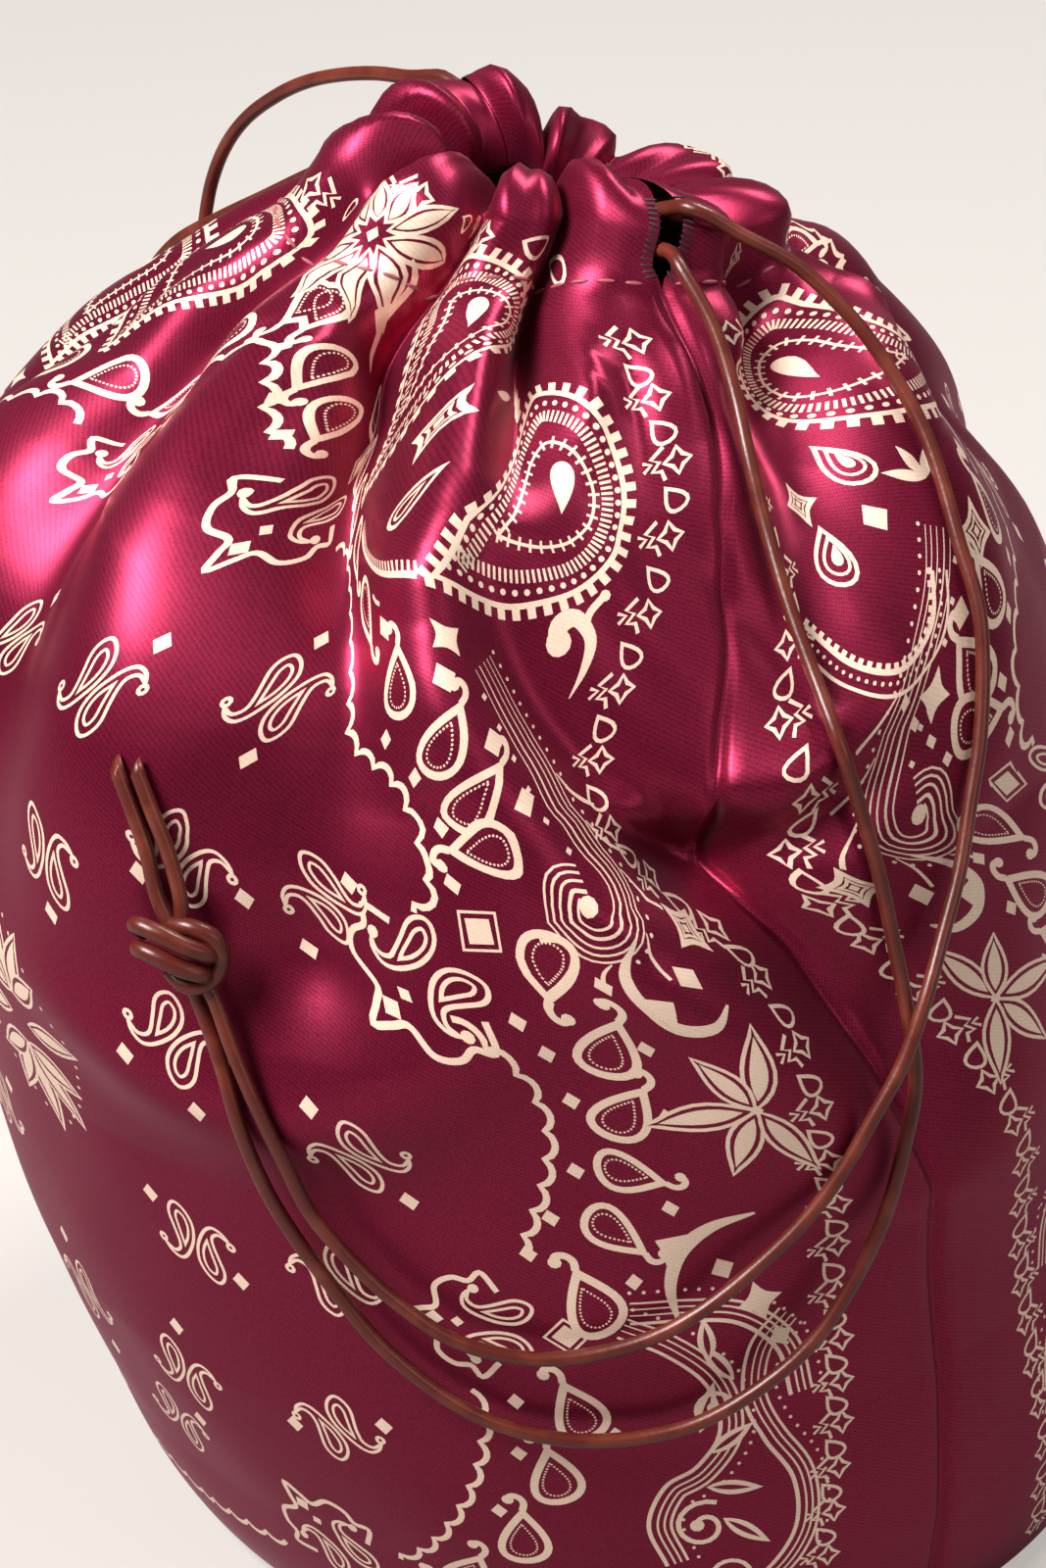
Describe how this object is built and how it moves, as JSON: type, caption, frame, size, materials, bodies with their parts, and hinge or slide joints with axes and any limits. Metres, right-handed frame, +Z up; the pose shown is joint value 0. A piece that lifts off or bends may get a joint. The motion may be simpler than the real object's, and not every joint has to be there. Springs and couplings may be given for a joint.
{
  "type": "kinchaku drawstring pouch",
  "caption": "Soft satin drawstring pouch with a flat round base, a gathered casing at the mouth and leather cords that end in overhand knots.",
  "frame": {"origin": "centre of the round base, on the floor", "axes": "+Z up, the side seams at +X and -X, the front panel towards -Y"},
  "size_m": [0.175, 0.1771, 0.2087],
  "materials": {
    "burgundy_satin": "printed satin",
    "brown_leather": "smooth round lace"
  },
  "bodies": {
    "root": {"front_panel": "burgundy_satin", "back_panel": "burgundy_satin", "base_panel": "burgundy_satin", "right_cord_casing_loop": "brown_leather", "right_cord_upper_strand": "brown_leather", "right_cord_lower_strand": "brown_leather", "right_cord_knot": "brown_leather", "right_cord_end_a": "brown_leather", "right_cord_end_b": "brown_leather", "left_cord_casing_loop": "brown_leather", "left_cord_upper_strand": "brown_leather", "left_cord_lower_strand": "brown_leather", "left_cord_knot": "brown_leather", "left_cord_end_a": "brown_leather", "left_cord_end_b": "brown_leather"}
  },
  "joints": []
}
